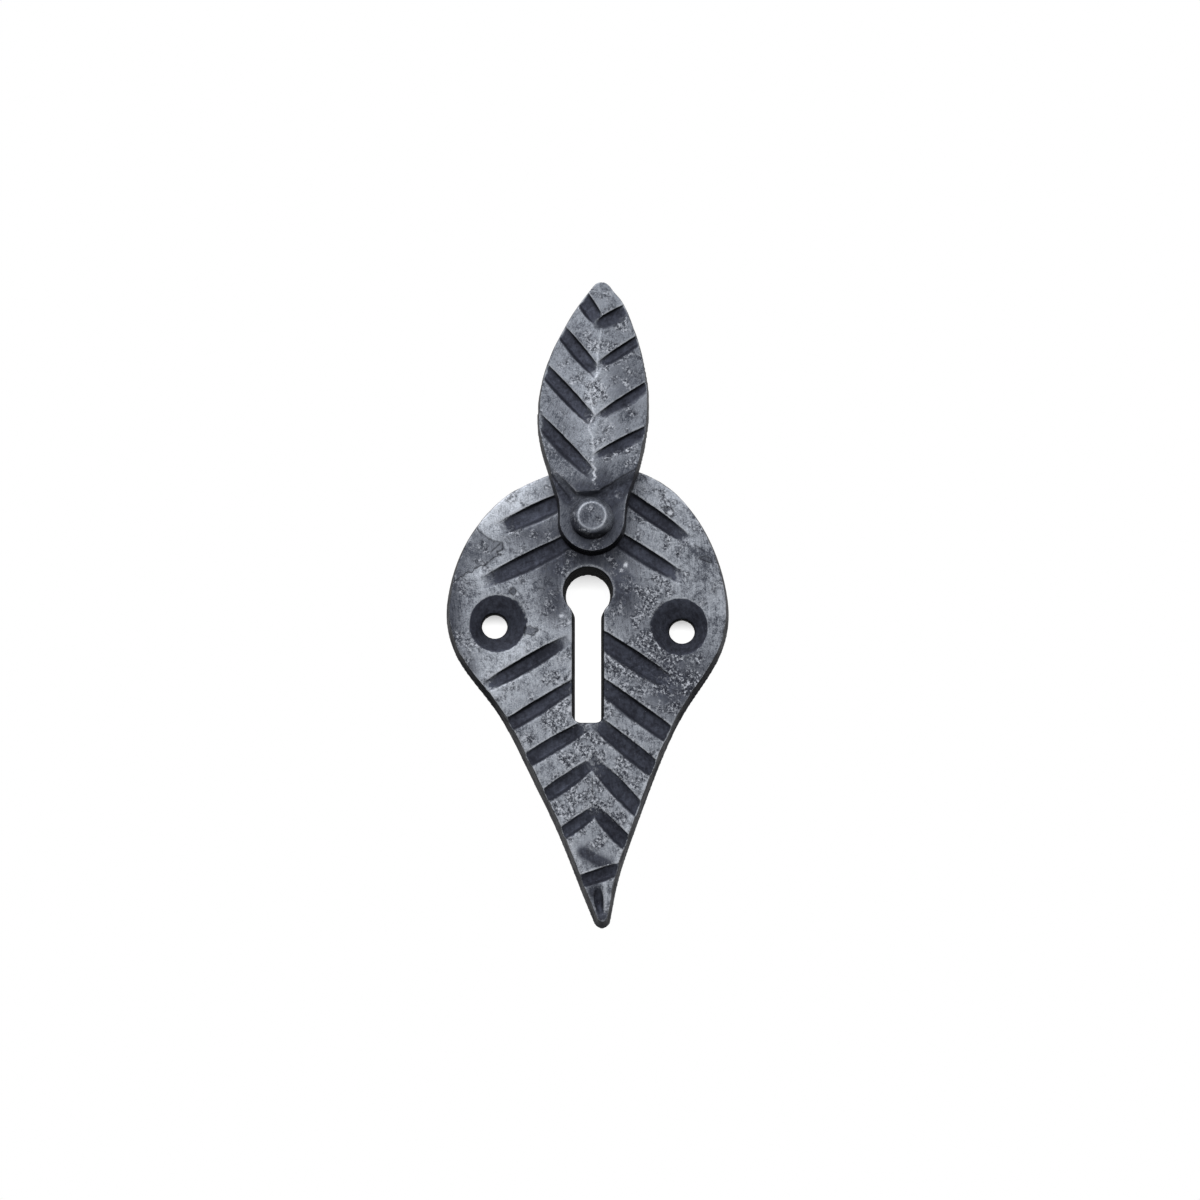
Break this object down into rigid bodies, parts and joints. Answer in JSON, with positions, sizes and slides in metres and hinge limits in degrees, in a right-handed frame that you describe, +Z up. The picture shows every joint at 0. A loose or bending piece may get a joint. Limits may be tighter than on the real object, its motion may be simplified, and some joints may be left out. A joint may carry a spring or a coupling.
{
  "type": "keyhole escutcheon with swing cover",
  "caption": "Leaf-shaped forged steel keyhole escutcheon with chiselled veins, countersunk screw holes and a leaf cover that swings on a rivet over the keyhole.",
  "frame": {"origin": "where the axis of the key, the centre of the keyhole's round part, meets the mounting plane", "axes": "upright as fixed to a door: +X right seen from the front, +Y into the door, +Z up; the front faces -Y"},
  "size_m": [0.0467, 0.0099, 0.1081],
  "materials": {
    "forged_steel": "forged, blackened and waxed, rubbed back to grey on the high spots",
    "rivet_steel": "forged and blackened, worn bright on the flat of the head"
  },
  "bodies": {
    "plate": {"back_plate": "forged_steel", "pivot_rivet": "rivet_steel"},
    "cover": {"swing_cover": "forged_steel"}
  },
  "joints": [
    {"name": "cover_swing", "type": "hinge", "parent": "plate", "child": "cover", "pos_m": [0.00065, -0.0061, 0.0115], "axis": [0, 1, 0], "continuous": true}
  ]
}
